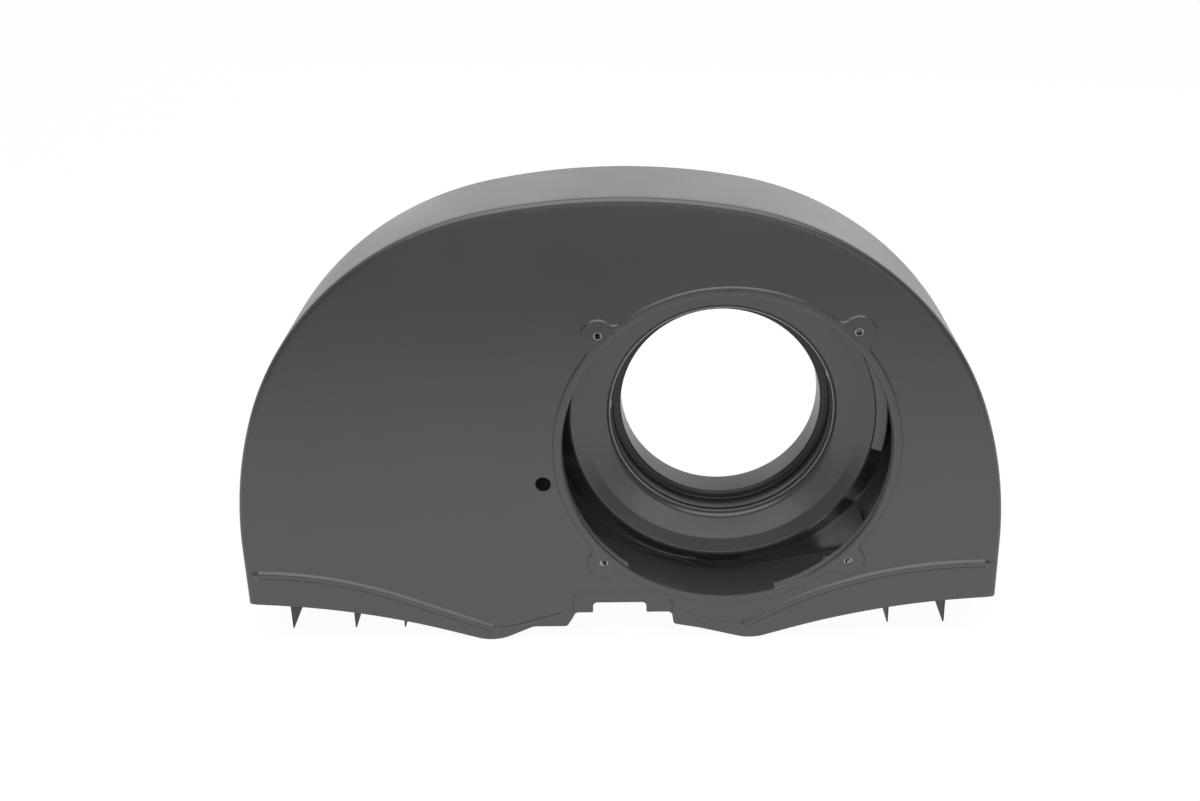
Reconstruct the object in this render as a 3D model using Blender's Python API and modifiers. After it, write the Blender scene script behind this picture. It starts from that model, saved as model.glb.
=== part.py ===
"""Engine fan shroud: a pressed sheet-steel housing that stands over an air-cooled flat engine.

The front shell is one pressing, a flat face whose edge folds back into the band. The rear panel is
a shallow pan inside the band, with a drawn ring round the air inlet. Guide sheets and vanes stand
between the two. X runs across, Y from front to rear, Z up, in metres. The shroud stands on the
lobes of its two panels at Z = 0.
"""
import math

import bmesh
import bpy
from mathutils import Matrix

# Sheet steel and the clearance between neighbouring pieces
SHEET = 0.0010
GAP = 0.0003
LAP = 0.0010

# Fan opening in the face, with its raised seat and four bolt ears
FAN_X = 0.087
OPENING_RADIUS = 0.130
OPENING_LOWEST_Z = 0.041
OPENING_FLANGE = 0.0070
OPENING_BEND = 0.0016
FLANGE_CUT_START = -127.5
FLANGE_CUT_END = -72.5
SEAT_WIDTH = 0.0074
SEAT_RISE = 0.0012
SEAT_SLOPE = 0.0010
EAR_RADIUS = 0.0135
EAR_FILLET = 0.0060
BOLT_REACH = 0.0103
BOLT_HOLE_RADIUS = 0.0034

# Outline of the hood, seen from the front: three arcs a side, from the top centre down,
# each given by how much larger its radius is than that of the fan opening
HEADROOM = 0.0772
TOP_SPREAD = 0.384
TOP_TURN = 10.9
SHOULDER_SPREAD = 0.123
SHOULDER_TURN = 60.0
SIDE_SPREAD = 0.229

# Depth of the band and the fold between face and band
BAND_DEPTH = 0.0926
FOLD_RADIUS = 0.0042
FOLD_SEGMENTS = 4

# Lower edge of both panels, from the band's ends in to the notch
CORNER_Z = 0.0365
CORNER_SLOPE = 4.0
SKIRT_RADIUS = 0.640
LOBE_RADIUS = 0.040
LOBE_OUTER_SLOPE = 17.0
LEFT_LOBE_X = 0.1050
LEFT_INNER_SLOPE = 24.0
LEFT_SHELF_X = 0.0720
LEFT_SHELF_SLOPE = 0.0
LEFT_RISER_FOOT_X = 0.0440
LEFT_RISER_TOP_X = 0.0365
RIGHT_LOBE_X = 0.1085
RIGHT_INNER_SLOPE = 14.5
RIGHT_SHELF_X = 0.0663
RIGHT_SHELF_SLOPE = 11.0
RIGHT_RISER_FOOT_X = 0.0445
RIGHT_RISER_TOP_X = 0.0430
SHELF_RADIUS = 0.0100
RISER_FOOT_RADIUS = 0.0030
RISER_TOP_RADIUS = 0.0040
STEP_Z = 0.0243
NOTCH_HALF_WIDTH = 0.022
NOTCH_Z = 0.0337
NOTCH_RADIUS = 0.0035
NOTCH_EDGE_RADIUS = 0.0015

# Throttle cable hole through both panels, measured from the fan opening
CABLE_REACH = 0.0159
CABLE_DROP = 0.0264
CABLE_RADIUS = 0.0063

# Stiffening beads and low ridges pressed out of the face
BEAD_WIDTH = 0.0060
BEAD_HEIGHT = 0.0020
BEAD_SLOPE = 0.80
BEAD_END_INSET = 0.0115
BEAD_LAP = 0.0010
LEFT_BEAD_END_Z = 0.0640
LEFT_BEAD_CORNER_INSET = 0.0729
LEFT_BEAD_CORNER_Z = 0.0624
LEFT_BEAD_RUN = 0.0018
LEFT_BEAD_FOOT_X = 0.1061
LEFT_BEAD_FOOT_Z = 0.0107
RIGHT_BEAD_END_Z = 0.0677
RIGHT_BEAD_CORNER_INSET = 0.1072
RIGHT_BEAD_CORNER_Z = 0.0660
RIGHT_BEAD_RUN = 0.0112
RIGHT_BEAD_FOOT_X = 0.1035
RIGHT_BEAD_FOOT_Z = 0.0130
RIDGE_WIDTH = 0.0030
RIDGE_HEIGHT = 0.0007
LEFT_RIDGE = ((-0.1035, 0.0110, 0), (-0.0900, 0.0120, 0.040), (-0.0480, 0.0243, 0))
RIGHT_RIDGE = ((0.1080, 0.0122, 0), (0.0860, 0.0138, 0.060), (0.0497, 0.0254, 0))

# Pocket pressed back round the notch
POCKET_DEPTH = 0.0015
POCKET_TOP_Z = 0.0450
POCKET_LEFT_X = 0.0385
POCKET_LEFT_RADIUS = 0.0090
POCKET_RIGHT_X = 0.0440
POCKET_RIGHT_RADIUS = 0.0160

# Rear panel and its drawn inlet ring, in steps of radius and depth from one feature to the next
REAR_FLANGE = 0.0120
RING_INSET = 0.0040
RING_WALL_REACH = 0.0175
RING_WALL_DEPTH = 0.0193
RING_BASE_BEND = 0.0030
RING_APRON = 0.0160
RING_CREST_BEND = 0.0025
RING_LEDGE = 0.0110
RING_LEDGE_DEPTH = 0.0072
RING_CREASE_BEND = 0.0060
THROAT_REACH = 0.0238
THROAT_SLOPE = 0.80
THROAT_BEND = 0.0120
THROAT_LENGTH = 0.0125

# Inlet collar, a stepped ring welded into the throat
COLLAR_STEP = 0.0070
COLLAR_SEAT_DEPTH = 0.0160
COLLAR_LENGTH = 0.0290
COLLAR_BEND = 0.0018

# Guide sheets and vanes between the panels; insets run in from the band's ends
LIP_WIDTH = 0.0096
LIP_START = -12.5
LIP_END = 78.0
FLOOR_LEFT_INSET = 0.1402
FLOOR_LEFT_Z = 0.0170
FLOOR_RIDGE_X = -0.060
FLOOR_RIDGE_Z = 0.0667
FLOOR_RIDGE_RADIUS = 0.050
FLOOR_DIP_Z = 0.0169
FLOOR_DIP_RADIUS = 0.100
FLOOR_RIGHT_INSET = 0.1112
FLOOR_RIGHT_Z = 0.0377
FLOOR_RELIEF_LENGTH = 0.0220
FLOOR_STRIP_WIDTH = 0.0080
FLOOR_SEAM = 0.0011
FLOOR_TAB_HALF_WIDTH = 0.0200
VANE_BOTTOM_Z = 0.0122
LEFT_VANES = ((0.0348, 0.112), (0.0874, 0.102), (0.1287, 0.090))
RIGHT_VANES = ((0.0869, 0.064), (0.0410, 0.078))
VANE_LEAN = 24.0
VANE_BEND_SHARE = 0.5
VANE_CURVE_SHARE = 0.6

# Weld nuts behind the ears and inside the band's ends
NUT_FLATS = 0.0100
NUT_HEIGHT = 0.0050
NUT_BORE_RADIUS = 0.0026
SIDE_HOLE_Z = 0.060
SIDE_HOLE_RADIUS = 0.0034

# Worked out from the sizes above
FAN_Z = OPENING_LOWEST_Z + OPENING_RADIUS
SEAT_RADIUS = OPENING_RADIUS + SEAT_WIDTH
BOLT_CIRCLE_RADIUS = OPENING_RADIUS + BOLT_REACH
TOP_Z = FAN_Z + OPENING_RADIUS + HEADROOM
TOP_RADIUS = OPENING_RADIUS + TOP_SPREAD
SHOULDER_RADIUS = OPENING_RADIUS + SHOULDER_SPREAD
SIDE_RADIUS = OPENING_RADIUS + SIDE_SPREAD
SIDE_TURN = 90.0 - TOP_TURN - SHOULDER_TURN
CABLE_X = FAN_X - OPENING_RADIUS - CABLE_REACH
CABLE_Z = FAN_Z - CABLE_DROP
WEB_Y = BAND_DEPTH - REAR_FLANGE - SHEET
WEB_MIDDLE_Y = WEB_Y + SHEET / 2
PAN_INSET = SHEET + GAP
RING_CREST_RADIUS = OPENING_RADIUS - RING_INSET
RING_CREST_MIDDLE_Y = WEB_MIDDLE_Y - RING_WALL_DEPTH
RING_BASE_RADIUS = RING_CREST_RADIUS + RING_WALL_REACH
RING_CREASE_RADIUS = RING_CREST_RADIUS - RING_LEDGE
RING_CREASE_MIDDLE_Y = RING_CREST_MIDDLE_Y + RING_LEDGE_DEPTH
COLLAR_SEAT_RADIUS = RING_CREASE_RADIUS - THROAT_REACH
COLLAR_RADIUS = COLLAR_SEAT_RADIUS - COLLAR_STEP
COLLAR_FRONT_Y = WEB_Y
COLLAR_STEP_Y = COLLAR_FRONT_Y + COLLAR_SEAT_DEPTH
COLLAR_END_Y = COLLAR_STEP_Y + COLLAR_LENGTH
FRONT_Y = -(COLLAR_END_Y - BEAD_HEIGHT) / 2

# How finely round shapes are stepped, in degrees, and how far cutters run past a face
ARC_STEP = 2.5
RING_SEGMENTS = 72
SHARP_ANGLE = 30.0
OVERRUN = 0.020

PAINT = (0.050, 0.051, 0.052, 1.0)
PAINT_ROUGHNESS = 0.38


def clear_scene():
    for item in list(bpy.data.objects):
        bpy.data.objects.remove(item, do_unlink=True)


def make_collection(name):
    group = bpy.data.collections.new(name)
    bpy.context.scene.collection.children.link(group)
    return group


def make_paint(name):
    paint = bpy.data.materials.new(name + "_paint")
    paint.use_nodes = True
    shader = paint.node_tree.nodes["Principled BSDF"]
    shader.inputs["Base Color"].default_value = PAINT
    shader.inputs["Roughness"].default_value = PAINT_ROUGHNESS
    shader.inputs["Metallic"].default_value = 0.0
    return paint


def add_object(name, mesh, group, painted=True):
    shade_round(mesh)
    item = bpy.data.objects.new(name, mesh)
    group.objects.link(item)
    if painted:
        mesh.materials.append(make_paint(name))
    return item


def shade_round(mesh):
    """Smooth shading on round sides; faces that look straight to the front or rear stay flat."""
    mesh.shade_smooth()
    mesh.set_sharp_from_angle(angle=math.radians(SHARP_ANGLE))
    for face in mesh.polygons:
        if abs(face.normal.y) > 0.999:
            face.use_smooth = False


def hide_tool(item):
    item.hide_render = True
    item.display_type = "WIRE"


def apply_boolean(target, tool, operation):
    """A live Boolean; the tool stays in its own collection, unseen by the render."""
    modifier = target.modifiers.new(tool.name, "BOOLEAN")
    modifier.operation = operation
    modifier.solver = "EXACT"
    modifier.object = tool
    hide_tool(tool)


# Flat outlines

def arc_points(centre, radius, start, end):
    """Points of an arc in degrees, start left out and end kept."""
    steps = max(1, math.ceil(abs(end - start) / ARC_STEP / fineness(radius)))
    points = []
    for i in range(1, steps + 1):
        angle = math.radians(start + (end - start) * i / steps)
        points.append((centre[0] + radius * math.cos(angle), centre[1] + radius * math.sin(angle)))
    return points


def fineness(radius):
    """Small arcs take longer steps than large ones."""
    for least, share in ((0.100, 1.0), (0.035, 2.0), (0.015, 4.0), (0.004, 8.0)):
        if radius > least:
            return share
    return 12.0


def rounded_path(corners, closed=False):
    """Polyline through (x, z, radius) corners, each corner rounded by its radius."""
    count = len(corners)
    points = []
    for i, (x, z, radius) in enumerate(corners):
        if radius == 0 or (not closed and i in (0, count - 1)):
            points.append((x, z))
            continue
        before = corners[i - 1]
        after = corners[(i + 1) % count]
        inward = math.atan2(before[1] - z, before[0] - x)
        outward = math.atan2(after[1] - z, after[0] - x)
        half = ((outward - inward + math.pi) % (2 * math.pi) - math.pi) / 2
        reach = radius / abs(math.tan(half))
        middle = inward + half
        centre = (x + radius / abs(math.sin(half)) * math.cos(middle),
                  z + radius / abs(math.sin(half)) * math.sin(middle))
        first = (x + reach * math.cos(inward), z + reach * math.sin(inward))
        last = (x + reach * math.cos(outward), z + reach * math.sin(outward))
        start = math.degrees(math.atan2(first[1] - centre[1], first[0] - centre[0]))
        end = math.degrees(math.atan2(last[1] - centre[1], last[0] - centre[0]))
        end = start + (end - start + 180.0) % 360.0 - 180.0
        points.append(first)
        points.extend(arc_points(centre, radius, start, end))
    return points


def shortened(path, length):
    """Open path with both ends drawn in along their last runs."""
    ends = []
    for end, inner in ((path[0], path[1]), (path[-1], path[-2])):
        share = length / math.dist(end, inner)
        ends.append((end[0] + (inner[0] - end[0]) * share, end[1] + (inner[1] - end[1]) * share))
    return [ends[0]] + path[1:-1] + [ends[1]]


def hood_half(inset):
    """Right half of the hood outline from the top centre down to the end of its side arc."""
    x, z, heading = 0.0, TOP_Z - inset, 90.0
    points = [(x, z)]
    arcs = ((TOP_RADIUS, TOP_TURN), (SHOULDER_RADIUS, SHOULDER_TURN), (SIDE_RADIUS, SIDE_TURN))
    for radius, turn in arcs:
        radius -= inset
        facing = math.radians(heading)
        centre = (x - radius * math.cos(facing), z - radius * math.sin(facing))
        points.extend(arc_points(centre, radius, heading, heading - turn))
        x, z = points[-1]
        heading -= turn
    return points


def hood_outline(inset, bottom_z):
    """Closed outline of the hood, sides run straight down to bottom_z."""
    right = hood_half(inset)
    half_width = right[-1][0]
    left = [(-x, z) for x, z in right[1:]]
    return [(half_width, bottom_z)] + right[::-1] + left + [(-half_width, bottom_z)]


def half_width():
    return hood_half(0.0)[-1][0]


def lobe_corner_z(inner_slope):
    """Height of a lobe's unrounded corner that sets the rounded lobe on Z = 0."""
    lean = math.radians(inner_slope - LOBE_OUTER_SLOPE) / 2
    turn = math.radians(inner_slope + LOBE_OUTER_SLOPE) / 2
    return LOBE_RADIUS * (1 - math.cos(lean) / math.cos(turn))


def skirt_corners(side):
    """Lower edge from the band's corner in to the step, side is 1 for right and -1 for left."""
    if side < 0:
        lobe_x, inner, shelf_x, shelf = LEFT_LOBE_X, LEFT_INNER_SLOPE, LEFT_SHELF_X, LEFT_SHELF_SLOPE
        foot_x, top_x = LEFT_RISER_FOOT_X, LEFT_RISER_TOP_X
    else:
        lobe_x, inner, shelf_x, shelf = RIGHT_LOBE_X, RIGHT_INNER_SLOPE, RIGHT_SHELF_X, RIGHT_SHELF_SLOPE
        foot_x, top_x = RIGHT_RISER_FOOT_X, RIGHT_RISER_TOP_X
    lobe_z = lobe_corner_z(inner)
    outer_rise = math.tan(math.radians(LOBE_OUTER_SLOPE))
    end_rise = math.tan(math.radians(CORNER_SLOPE))
    end_x = half_width()
    bend_x = (CORNER_Z - end_x * end_rise - lobe_z + lobe_x * outer_rise) / (outer_rise - end_rise)
    shelf_z = lobe_z + (lobe_x - shelf_x) * math.tan(math.radians(inner))
    foot_z = shelf_z + (shelf_x - foot_x) * math.tan(math.radians(shelf))
    return [
        (side * (end_x + OVERRUN), CORNER_Z + OVERRUN * end_rise, 0.0),
        (side * bend_x, lobe_z + (bend_x - lobe_x) * outer_rise, SKIRT_RADIUS),
        (side * lobe_x, lobe_z, LOBE_RADIUS),
        (side * shelf_x, shelf_z, SHELF_RADIUS),
        (side * foot_x, foot_z, RISER_FOOT_RADIUS),
        (side * top_x, STEP_Z, RISER_TOP_RADIUS),
    ]


def notch_corners():
    return [
        (NOTCH_HALF_WIDTH, STEP_Z, NOTCH_EDGE_RADIUS),
        (NOTCH_HALF_WIDTH, NOTCH_Z, NOTCH_RADIUS),
        (-NOTCH_HALF_WIDTH, NOTCH_Z, NOTCH_RADIUS),
        (-NOTCH_HALF_WIDTH, STEP_Z, NOTCH_EDGE_RADIUS),
    ]


def lower_edge():
    left = skirt_corners(-1)
    return rounded_path(skirt_corners(1) + notch_corners() + left[::-1])


def trim_outline():
    """Everything under the panels' lower edge, as one closed outline."""
    edge = lower_edge()
    under = -STEP_Z - OVERRUN * 2
    return edge + [(edge[-1][0], under), (edge[0][0], under)]


def seat_outline(shrink):
    """Raised seat round the fan opening: a circle with four ears and hollow fillets."""
    ring = SEAT_RADIUS - shrink
    ear = EAR_RADIUS - shrink
    fillet = EAR_FILLET + shrink
    reach = BOLT_CIRCLE_RADIUS
    hub_reach = ring + fillet
    swing = math.acos((hub_reach ** 2 + reach ** 2 - (ear + fillet) ** 2) / (2 * hub_reach * reach))
    points = []
    for k in range(4):
        direction = math.radians(45.0 + 90.0 * k)
        following = math.radians(135.0 + 90.0 * k)
        ear_middle = ear_centre(k)
        for sign in (-1, 1):
            angle = direction + sign * swing
            hub = (FAN_X + (ring + fillet) * math.cos(angle), FAN_Z + (ring + fillet) * math.sin(angle))
            to_ring = math.degrees(angle) + 180.0
            to_ear = math.degrees(math.atan2(ear_middle[1] - hub[1], ear_middle[0] - hub[0]))
            turn = (to_ear - to_ring + 180.0) % 360.0 - 180.0
            if sign < 0:
                points.extend(arc_points(hub, fillet, to_ring, to_ring + turn))
                leave = to_ear + 180.0
                sweep = 2 * ((math.degrees(direction) - leave + 180.0) % 360.0 - 180.0)
                points.extend(arc_points(ear_middle, ear, leave, leave + sweep))
            else:
                points.extend(arc_points(hub, fillet, to_ring + turn, to_ring))
        start = math.degrees(direction + swing)
        points.extend(arc_points((FAN_X, FAN_Z), ring, start, math.degrees(following - swing)))
    return points


def sheet_outline(path, thickness):
    """Closed outline of a sheet that follows an open path."""
    sides = ([], [])
    for i, (x, z) in enumerate(path):
        before = path[max(i - 1, 0)]
        after = path[min(i + 1, len(path) - 1)]
        along = math.atan2(after[1] - before[1], after[0] - before[0])
        for side, sign in zip(sides, (1, -1)):
            reach = sign * thickness
            side.append((x - reach * math.sin(along) / 2, z + reach * math.cos(along) / 2))
    return sides[0] + sides[1][::-1]


# Solids

def plate_mesh(name, outline, front, rear):
    """Flat outline (x, z) made solid from depth front to depth rear behind the face."""
    curve = bpy.data.curves.new(name, "CURVE")
    curve.dimensions = "2D"
    curve.fill_mode = "BOTH"
    curve.extrude = (rear - front) / 2
    spline = curve.splines.new("POLY")
    spline.points.add(len(outline) - 1)
    for point, (x, z) in zip(spline.points, outline):
        point.co = (x, z, 0.0, 1.0)
    spline.use_cyclic_u = True
    middle = Matrix.Translation((0.0, FRONT_Y + (front + rear) / 2, 0.0))
    return settle_curve(name, curve, middle @ Matrix.Rotation(math.pi / 2, 4, "X"))


def settle_curve(name, curve, place):
    """Turn a curve into a welded mesh in its place and drop the curve."""
    shape = bpy.data.objects.new(name + "_curve", curve)
    bpy.context.scene.collection.objects.link(shape)
    bpy.context.view_layer.update()
    mesh = bpy.data.meshes.new_from_object(shape.evaluated_get(bpy.context.evaluated_depsgraph_get()))
    bpy.data.objects.remove(shape, do_unlink=True)
    bpy.data.curves.remove(curve)
    mesh.name = name
    work = bmesh.new()
    work.from_mesh(mesh)
    bmesh.ops.transform(work, matrix=place, verts=work.verts)
    bmesh.ops.remove_doubles(work, verts=work.verts, dist=0.000001)
    flat = [edge for edge in work.edges if len(edge.link_faces) == 2 and edge.calc_face_angle(1.0) < 0.0001]
    bmesh.ops.dissolve_edges(work, edges=flat, use_verts=False)
    bmesh.ops.recalc_face_normals(work, faces=work.faces)
    work.to_mesh(mesh)
    work.free()
    return mesh


def round_front_edges(mesh, depth, radius, lowest, segments=FOLD_SEGMENTS):
    """Round the edges that lie at one depth, those under lowest left sharp."""
    work = bmesh.new()
    work.from_mesh(mesh)
    level = FRONT_Y + depth
    edges = []
    for edge in work.edges:
        on_face = all(abs(vert.co.y - level) < 0.000001 for vert in edge.verts)
        under = all(vert.co.z < lowest for vert in edge.verts)
        if on_face and not under:
            edges.append(edge)
    bmesh.ops.bevel(work, geom=edges, offset=radius, segments=segments, profile=0.5, affect="EDGES")
    work.to_mesh(mesh)
    work.free()


def folded_block(name, inset, front, rear, radius, bottom_z):
    """Solid block of the hood's outline whose front edge is rounded along top and sides."""
    mesh = plate_mesh(name, hood_outline(inset, bottom_z), front, rear)
    round_front_edges(mesh, front, radius, bottom_z + SHEET)
    return mesh


def turned_mesh(name, profile, start=0.0, end=360.0, segments=RING_SEGMENTS):
    """Closed profile of (radius, depth) points turned about the fan axis by a Screw modifier."""
    mesh = bpy.data.meshes.new(name)
    work = bmesh.new()
    turn = Matrix.Rotation(math.radians(start), 4, "Z")
    verts = [work.verts.new(turn @ Matrix.Translation((radius, 0.0, depth)).to_translation())
             for radius, depth in profile]
    for a, b in zip(verts, verts[1:] + verts[:1]):
        work.edges.new((a, b))
    whole = end - start >= 360.0
    if not whole:
        work.faces.new(verts)
    work.to_mesh(mesh)
    work.free()
    shape = bpy.data.objects.new(name + "_profile", mesh)
    bpy.context.scene.collection.objects.link(shape)
    screw = shape.modifiers.new("turn", "SCREW")
    screw.axis = "Z"
    screw.angle = math.radians(end - start)
    screw.steps = segments
    screw.render_steps = segments
    screw.use_merge_vertices = whole
    screw.merge_threshold = 0.000001
    bpy.context.view_layer.update()
    solid = bpy.data.meshes.new_from_object(shape.evaluated_get(bpy.context.evaluated_depsgraph_get()))
    bpy.data.objects.remove(shape, do_unlink=True)
    solid.name = name
    work = bmesh.new()
    work.from_mesh(solid)
    place = Matrix.Translation((FAN_X, FRONT_Y, FAN_Z)) @ Matrix.Rotation(-math.pi / 2, 4, "X")
    place = place @ Matrix.Scale(-1.0, 4, (0.0, 1.0, 0.0))
    bmesh.ops.transform(work, matrix=place, verts=work.verts)
    bmesh.ops.remove_doubles(work, verts=work.verts, dist=0.000001)
    bmesh.ops.holes_fill(work, edges=[edge for edge in work.edges if edge.is_boundary])
    bmesh.ops.recalc_face_normals(work, faces=work.faces)
    work.to_mesh(solid)
    work.free()
    return solid


def bead_mesh(name, path, width, front, rear, slope=0.0):
    """Raised strip along a path, its front edges sloped; slope 0 leaves them square."""
    mesh = plate_mesh(name, sheet_outline(path, width), front, rear)
    if slope > 0:
        round_front_edges(mesh, front, slope, -1.0, 2)
    return mesh


def rod_mesh(name, x, z, radius, front, rear, segments=24):
    """Round rod along Y between two depths, used as a drill."""
    place = Matrix.Translation((x, FRONT_Y, z)) @ Matrix.Rotation(-math.pi / 2, 4, "X")
    return prism_mesh(name, radius, front, rear, segments, place)


def prism_mesh(name, radius, front, rear, segments, place):
    """Regular prism about the local Z axis of a place, from front to rear along it."""
    mesh = bpy.data.meshes.new(name)
    work = bmesh.new()
    centre = place @ Matrix.Translation((0.0, 0.0, (front + rear) / 2))
    bmesh.ops.create_cone(work, cap_ends=True, segments=segments, radius1=radius, radius2=radius,
                          depth=rear - front, matrix=centre)
    work.to_mesh(mesh)
    work.free()
    return mesh


# Paths shared by beads, grooves and their checks

def main_bead_path(side):
    """Curved bead from the band's end down to the lobe, its bend starting a short run from that end."""
    if side < 0:
        inset, corner_z = LEFT_BEAD_CORNER_INSET, LEFT_BEAD_CORNER_Z
        end_z, run = LEFT_BEAD_END_Z, LEFT_BEAD_RUN
        foot = (-LEFT_BEAD_FOOT_X, LEFT_BEAD_FOOT_Z)
    else:
        inset, corner_z = RIGHT_BEAD_CORNER_INSET, RIGHT_BEAD_CORNER_Z
        end_z, run = RIGHT_BEAD_END_Z, RIGHT_BEAD_RUN
        foot = (RIGHT_BEAD_FOOT_X, RIGHT_BEAD_FOOT_Z)
    end = (side * (half_width() - BEAD_END_INSET), end_z)
    corner = (side * (half_width() - inset), corner_z)
    outer_lean = math.atan2(end[1] - corner[1], abs(end[0] - corner[0]))
    inner_lean = math.atan2(corner[1] - foot[1], abs(corner[0] - foot[0]))
    radius = (math.dist(end, corner) - run) / math.tan((inner_lean - outer_lean) / 2)
    return rounded_path([(end[0], end[1], 0), (corner[0], corner[1], radius), (foot[0], foot[1], 0)])


def thin_ridge_path(side):
    """Low ridge from the lobe up to the pocket."""
    return rounded_path(LEFT_RIDGE if side < 0 else RIGHT_RIDGE)


def lead_bead_path(side):
    """Short low ridge that carries the main bead on to the fold at the band's end."""
    path = main_bead_path(side)
    end, following = path[0], path[1]
    slope = (following[1] - end[1]) / (following[0] - end[0])
    inner_x = end[0] - side * BEAD_LAP
    outer_x = side * (half_width() - FOLD_RADIUS)
    return [(outer_x, end[1] + (outer_x - end[0]) * slope), (inner_x, end[1] - side * BEAD_LAP * slope)]


def ring_corners():
    """Corners of the drawn inlet ring's middle line in radius and depth, from base to throat."""
    throat_radius = COLLAR_SEAT_RADIUS + SHEET + GAP + SHEET / 2
    throat_y = RING_CREASE_MIDDLE_Y + (RING_CREASE_RADIUS - throat_radius) * THROAT_SLOPE
    return [
        (RING_BASE_RADIUS + RING_APRON, WEB_MIDDLE_Y, 0),
        (RING_BASE_RADIUS, WEB_MIDDLE_Y, RING_BASE_BEND),
        (RING_CREST_RADIUS, RING_CREST_MIDDLE_Y, RING_CREST_BEND),
        (RING_CREASE_RADIUS, RING_CREASE_MIDDLE_Y, RING_CREASE_BEND),
        (throat_radius, throat_y, THROAT_BEND),
        (throat_radius, throat_y + THROAT_LENGTH, 0),
    ]


def ring_wall_front(radius):
    """Depth of the ring wall's front surface at a radius between crest and base."""
    length = math.hypot(RING_WALL_REACH, RING_WALL_DEPTH)
    middle = RING_CREST_MIDDLE_Y + (radius - RING_CREST_RADIUS) * RING_WALL_DEPTH / RING_WALL_REACH
    return middle - SHEET / 2 * length / RING_WALL_REACH


def wall_gap():
    """Straight-ahead distance that leaves the named clearance square to the ring's wall."""
    return GAP * math.hypot(RING_WALL_REACH, RING_WALL_DEPTH) / RING_WALL_REACH


# Pieces

def build_front_shell(parts, tools):
    """Face and band in one pressing, with opening, seat, beads, pocket and holes."""
    lowest = -OVERRUN
    block = folded_block("front_shell", 0.0, 0.0, BAND_DEPTH, FOLD_RADIUS, lowest)
    shell = add_object("front_shell", block, parts)

    def tool(name, mesh, operation):
        apply_boolean(shell, add_object(name, mesh, tools, painted=False), operation)

    tool("hollow", folded_block("hollow", SHEET, SHEET, BAND_DEPTH + OVERRUN, FOLD_RADIUS - SHEET,
                                lowest - OVERRUN), "DIFFERENCE")
    tool("pocket_back", pocket_mesh("pocket_back", SHEET, SHEET / 2, SHEET + POCKET_DEPTH), "UNION")
    tool("pocket_front", pocket_mesh("pocket_front", 0.0, -SHEET, POCKET_DEPTH), "DIFFERENCE")
    seat = plate_mesh("seat", seat_outline(0.0), -SEAT_RISE, SHEET / 2)
    round_front_edges(seat, -SEAT_RISE, SEAT_SLOPE, -1.0, 2)
    tool("seat", seat, "UNION")
    seat_back = plate_mesh("seat_back", seat_outline(SHEET), SHEET - SEAT_RISE, SHEET * 2)
    tool("seat_back", seat_back, "DIFFERENCE")
    mouth = OPENING_RADIUS + OPENING_BEND + SHEET + LAP / 2
    tool("mouth", rod_mesh("mouth", FAN_X, FAN_Z, mouth, -OVERRUN, OVERRUN, RING_SEGMENTS), "DIFFERENCE")
    tool("opening_flange", flange_mesh("opening_flange"), "UNION")
    tool("flange_cut", flange_cut_mesh("flange_cut"), "DIFFERENCE")
    for side, tag in ((-1, "left"), (1, "right")):
        for kind, path in (("bead_", main_bead_path(side)), ("ridge_", thin_ridge_path(side)),
                           ("lead_", lead_bead_path(side))):
            width, height = (BEAD_WIDTH, BEAD_HEIGHT) if kind == "bead_" else (RIDGE_WIDTH, RIDGE_HEIGHT)
            strip = bead_mesh(kind + tag, path, width, -height, SHEET / 2, height * BEAD_SLOPE)
            tool(kind + tag, strip, "UNION")
        groove = bead_mesh("groove_" + tag, shortened(main_bead_path(side), SHEET), BEAD_WIDTH - 2 * SHEET,
                           SHEET - BEAD_HEIGHT, SHEET * 2)
        tool("groove_" + tag, groove, "DIFFERENCE")
        drill = prism_mesh("side_hole_" + tag, SIDE_HOLE_RADIUS, -OVERRUN / 2, OVERRUN / 2, 20,
                           side_place(side))
        tool("side_hole_" + tag, drill, "DIFFERENCE")
    for k in range(4):
        x, z = ear_centre(k)
        name = "bolt_hole_" + str(k + 1)
        tool(name, rod_mesh(name, x, z, BOLT_HOLE_RADIUS, -OVERRUN, OVERRUN, 20), "DIFFERENCE")
    drill = rod_mesh("cable_hole", CABLE_X, CABLE_Z, CABLE_RADIUS, -OVERRUN, OVERRUN)
    tool("cable_hole", drill, "DIFFERENCE")
    tool("trim", plate_mesh("trim", trim_outline(), -OVERRUN, BAND_DEPTH + OVERRUN), "DIFFERENCE")
    return shell


def pocket_mesh(name, grow, front, rear):
    """Block of the pocket pressed round the notch."""
    right, left, top = POCKET_RIGHT_X + grow, -POCKET_LEFT_X - grow, POCKET_TOP_Z + grow
    outline = rounded_path([
        (right, -OVERRUN, 0),
        (right, top, POCKET_RIGHT_RADIUS + grow),
        (left, top, POCKET_LEFT_RADIUS + grow),
        (left, -OVERRUN, 0),
    ], closed=True)
    return plate_mesh(name, outline, front, rear)


def flange_mesh(name):
    """Edge of the fan opening, bent back, with the stretch at the bottom cut away."""
    bend = OPENING_BEND
    inner = OPENING_RADIUS
    top = -SEAT_RISE
    centre = (inner + bend + SHEET, top + bend + SHEET)
    outside = arc_points(centre, bend + SHEET, 270.0, 180.0)
    inside = arc_points(centre, bend, 180.0, 270.0)
    overlap = centre[0] + LAP
    end = [(inner, OPENING_FLANGE), (inner + SHEET, OPENING_FLANGE)]
    profile = [(overlap, top), (centre[0], top)] + outside + end
    profile += [(inner + SHEET, centre[1])] + inside + [(overlap, top + SHEET)]
    return turned_mesh(name, profile)


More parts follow.
